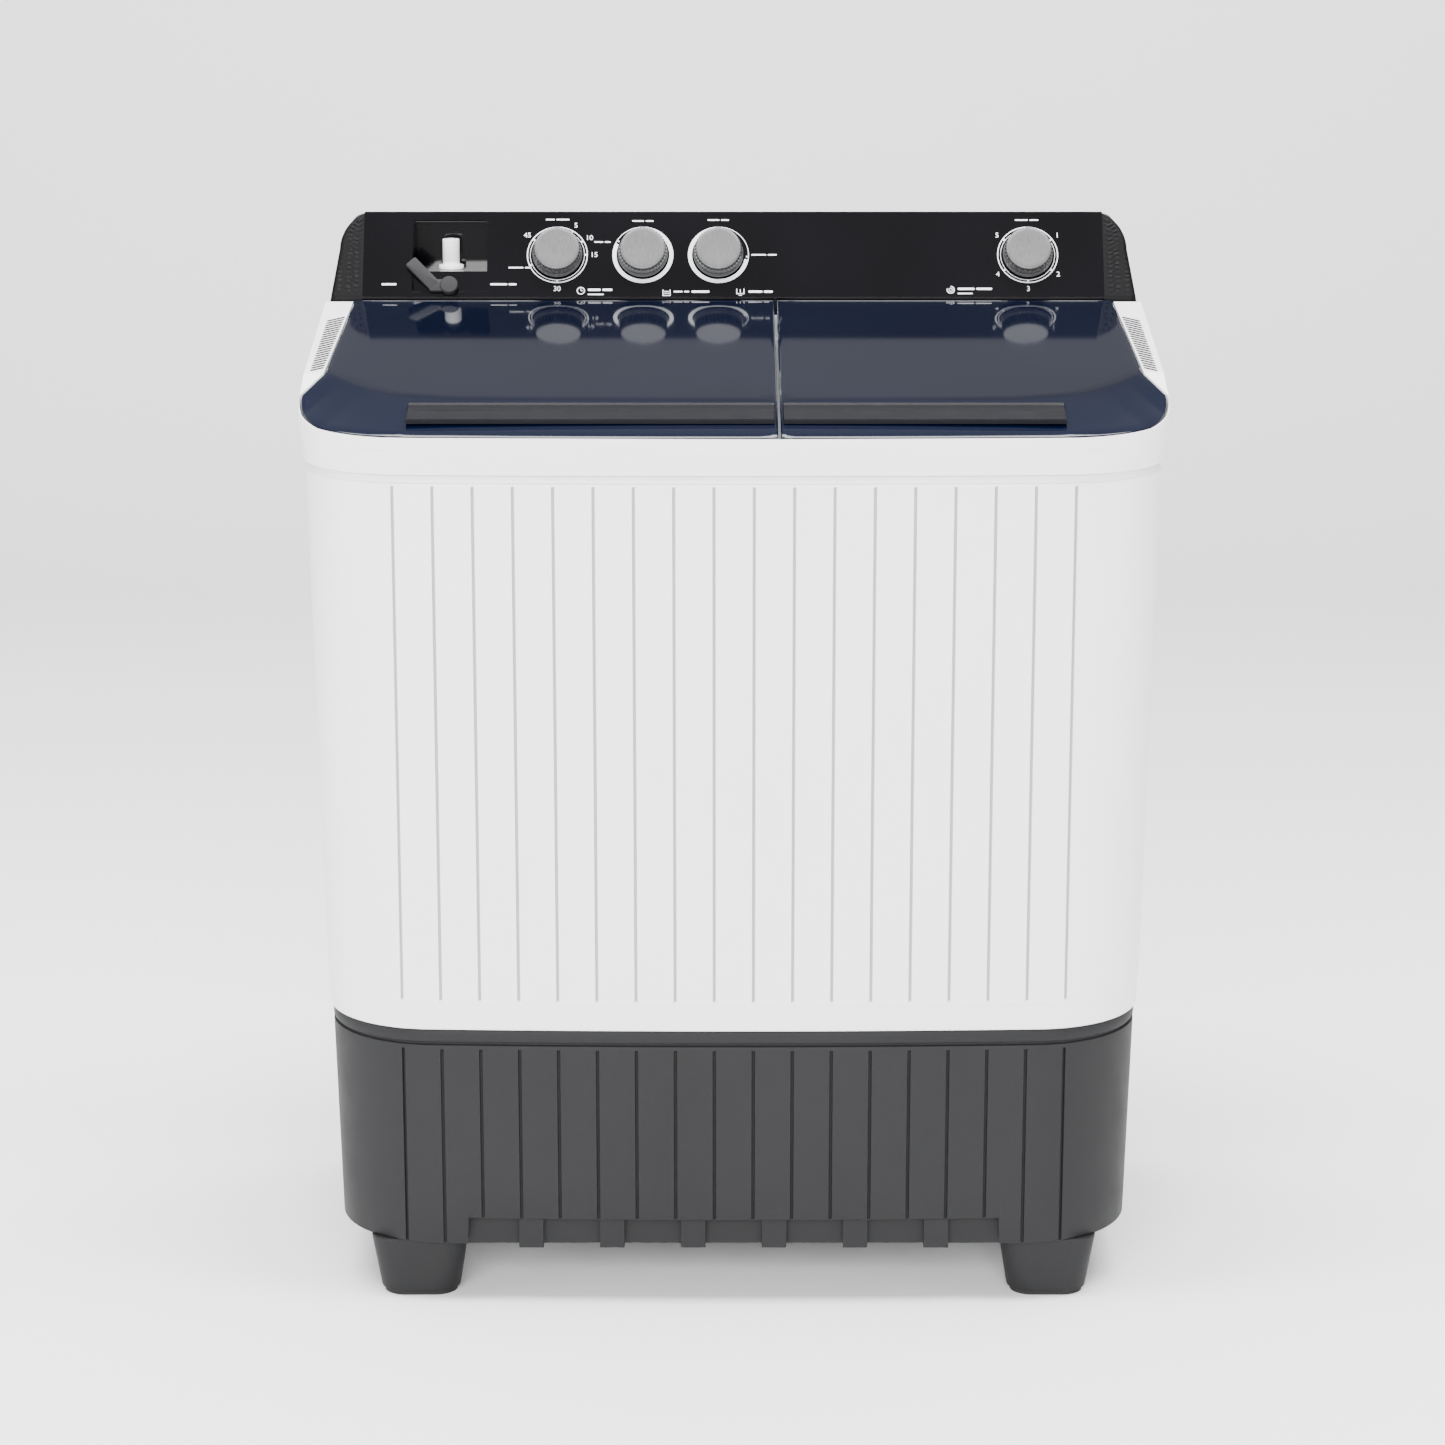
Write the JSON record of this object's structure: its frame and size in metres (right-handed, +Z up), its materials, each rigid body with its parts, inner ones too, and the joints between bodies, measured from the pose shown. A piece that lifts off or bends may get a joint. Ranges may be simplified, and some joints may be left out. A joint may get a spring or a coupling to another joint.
{
  "type": "twin tub washer",
  "caption": "Twin tub washing machine: wash tub with pulsator and spin basket side by side, blue lids, raised control console with dials.",
  "frame": {"origin": "on the floor under the middle of the casing", "axes": "+Z up, -Y towards the front, +X to the right of a person facing the front"},
  "size_m": [0.83, 0.4985, 1.0288],
  "materials": {
    "white_shell": "smooth white moulding",
    "dark_base": "dark grey satin moulding",
    "rubber": "matt rubber",
    "steel": "turned steel",
    "lid": "dark blue translucent gloss",
    "lid_grip": "smoky grey strip",
    "console_gloss": "piano black",
    "console_matte": "black, finely waved",
    "dial_silver": "silver satin",
    "white_inner": "white moulding",
    "lever_grey": "dark grey",
    "pulsator_grey": "light grey blue",
    "cast": "cast",
    "motor_paint": "black enamel",
    "galvanised": "zinc grey sheet",
    "hose": "grey hose",
    "valve": "natural nylon",
    "frosted": "clear smoky inner lid"
  },
  "bodies": {
    "casing": {"base_casing": "dark_base", "base_pan": "dark_base", "feet": "dark_base", "foot_pads": "rubber", "cabinet": "white_shell", "rear_cover": "galvanised", "rear_cover_screws": "steel", "top_frame": "white_shell", "wash_tub": "white_inner", "spin_well": "white_inner", "lint_filter": "white_inner", "overflow_grille": "white_inner", "lid_hinge_pins": "steel", "wash_bearing_housing": "cast", "drive_belt": "rubber", "wash_motor": "motor_paint", "spin_motor": "motor_paint", "shaft_bellows": "rubber", "suspension_springs": "steel", "console_housing": "console_gloss", "console_panel": "console_gloss", "console_end_left": "console_matte", "console_end_right": "console_matte", "inlet_housing": "console_gloss", "inlet_spigot": "white_shell", "wash_timer": "valve", "wash_selector": "valve", "spin_timer": "valve", "drain_valve_body": "valve", "drain_hoses": "hose", "drain_outlet": "valve", "cord_gland": "rubber", "capacitor": "galvanised"},
    "wash_lid": {"wash_lid": "lid", "wash_lid_handle": "lid_grip"},
    "spin_lid": {"spin_lid": "lid", "spin_lid_handle": "lid_grip"},
    "inner_cover": {"spin_inner_cover": "frosted"},
    "agitator": {"pulsator": "pulsator_grey", "pulsator_cap": "pulsator_grey", "wash_shaft": "steel", "wash_pulley": "cast"},
    "wash_rotor": {"wash_motor_rotor": "steel", "motor_pulley": "cast"},
    "spin_drum": {"spin_basket": "white_inner", "balance_ring": "white_inner", "spin_shaft": "steel", "brake_drum": "cast", "spin_motor_rotor": "steel"},
    "brake_lever": {"brake_arm": "steel"},
    "wash_timer_dial": {"wash_timer_knob": "dial_silver", "wash_timer_shaft": "steel"},
    "wash_type_dial": {"wash_type_knob": "dial_silver", "wash_type_shaft": "steel"},
    "drain_dial": {"drain_knob": "dial_silver", "drain_crank": "valve"},
    "spin_timer_dial": {"spin_timer_knob": "dial_silver", "spin_timer_shaft": "steel"},
    "valve_plunger": {"drain_plunger": "valve"},
    "diverter": {"diverter_lever": "lever_grey"}
  },
  "joints": [
    {"name": "wash_lid_hinge", "type": "hinge", "parent": "casing", "child": "wash_lid", "pos_m": [0, 0.074, 0.93095], "axis": [-1, 0, 0], "range_deg": [0, 105]},
    {"name": "spin_lid_hinge", "type": "hinge", "parent": "casing", "child": "spin_lid", "pos_m": [0, 0.074, 0.93095], "axis": [-1, 0, 0], "range_deg": [0, 105]},
    {"name": "inner_cover_hinge", "type": "hinge", "parent": "casing", "child": "inner_cover", "pos_m": [0.222, 0.06919, 0.90996], "axis": [-1, 0, 0], "range_deg": [0, 84]},
    {"name": "agitator_spin", "type": "hinge", "parent": "casing", "child": "agitator", "pos_m": [-0.171, -0.031, 0.22], "axis": [0, 0, 1], "continuous": true},
    {"name": "wash_rotor_spin", "type": "hinge", "parent": "casing", "child": "wash_rotor", "pos_m": [-0.003, -0.031, 0.22], "axis": [0, 0, 1], "continuous": true},
    {"name": "spin_drum_spin", "type": "hinge", "parent": "casing", "child": "spin_drum", "pos_m": [0.222, -0.04, 0.354], "axis": [0, 0, 1], "continuous": true},
    {"name": "brake_pivot", "type": "hinge", "parent": "casing", "child": "brake_lever", "pos_m": [0.162, 0.014, 0.216], "axis": [0, 0, 1], "range_deg": [0, 2]},
    {"name": "wash_timer_turn", "type": "hinge", "parent": "casing", "child": "wash_timer_dial", "pos_m": [-0.177, 0.123, 0.98784], "axis": [0, 0.866, -0.5], "range_deg": [0, 320]},
    {"name": "wash_type_turn", "type": "hinge", "parent": "casing", "child": "wash_type_dial", "pos_m": [-0.091, 0.123, 0.98784], "axis": [0, 0.866, -0.5], "range_deg": [-60, 0]},
    {"name": "drain_turn", "type": "hinge", "parent": "casing", "child": "drain_dial", "pos_m": [-0.015, 0.123, 0.98784], "axis": [0, 0.866, -0.5], "range_deg": [0, 90]},
    {"name": "spin_timer_turn", "type": "hinge", "parent": "casing", "child": "spin_timer_dial", "pos_m": [0.296, 0.123, 0.98784], "axis": [0, 0.866, -0.5], "range_deg": [0, 320]},
    {"name": "valve_lift", "type": "slide", "parent": "casing", "child": "valve_plunger", "axis": [0, 0, 1], "range_m": [0, 0.01634]},
    {"name": "diverter_turn", "type": "hinge", "parent": "casing", "child": "diverter", "pos_m": [-0.285, 0.1055, 0.95753], "axis": [0, 0.866, -0.5], "range_deg": [0, 114]}
  ],
  "couplings": [
    {"joint": "inner_cover_hinge", "follows": "spin_lid_hinge", "ratio": 0.8},
    {"joint": "brake_pivot", "follows": "spin_lid_hinge", "ratio": 0.019047},
    {"joint": "wash_rotor_spin", "follows": "agitator_spin", "ratio": 5.9032},
    {"joint": "valve_lift", "follows": "drain_turn", "m_per_rad": 0.010396}
  ]
}
